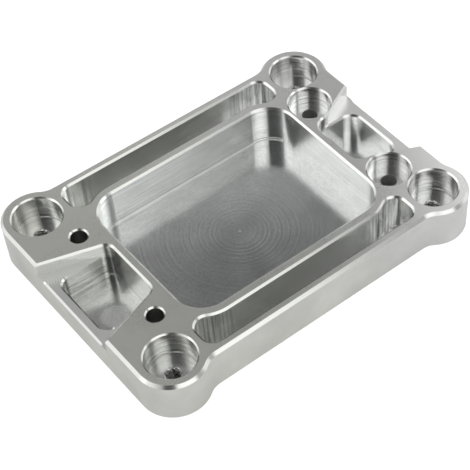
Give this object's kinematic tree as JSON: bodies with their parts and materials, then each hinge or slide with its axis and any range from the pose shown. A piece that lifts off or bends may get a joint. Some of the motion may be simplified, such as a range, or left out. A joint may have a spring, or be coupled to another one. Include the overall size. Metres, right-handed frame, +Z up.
{
  "type": "mounting block",
  "caption": "Machined aluminium mounting block: a flat plate with round corner lugs, a deep central pocket, side slots, flared end notches and counterbored bolt holes.",
  "frame": {"origin": "centre of the two rectangular hole patterns, on the underside", "axes": "+X along the plate towards the end with the counterbored inner holes, +Y across it, +Z up out of the open pockets"},
  "size_m": [0.198, 0.1474, 0.025],
  "materials": {
    "aluminium": "as machined, semi-bright"
  },
  "bodies": {
    "root": {"mounting_block": "aluminium"}
  },
  "joints": []
}
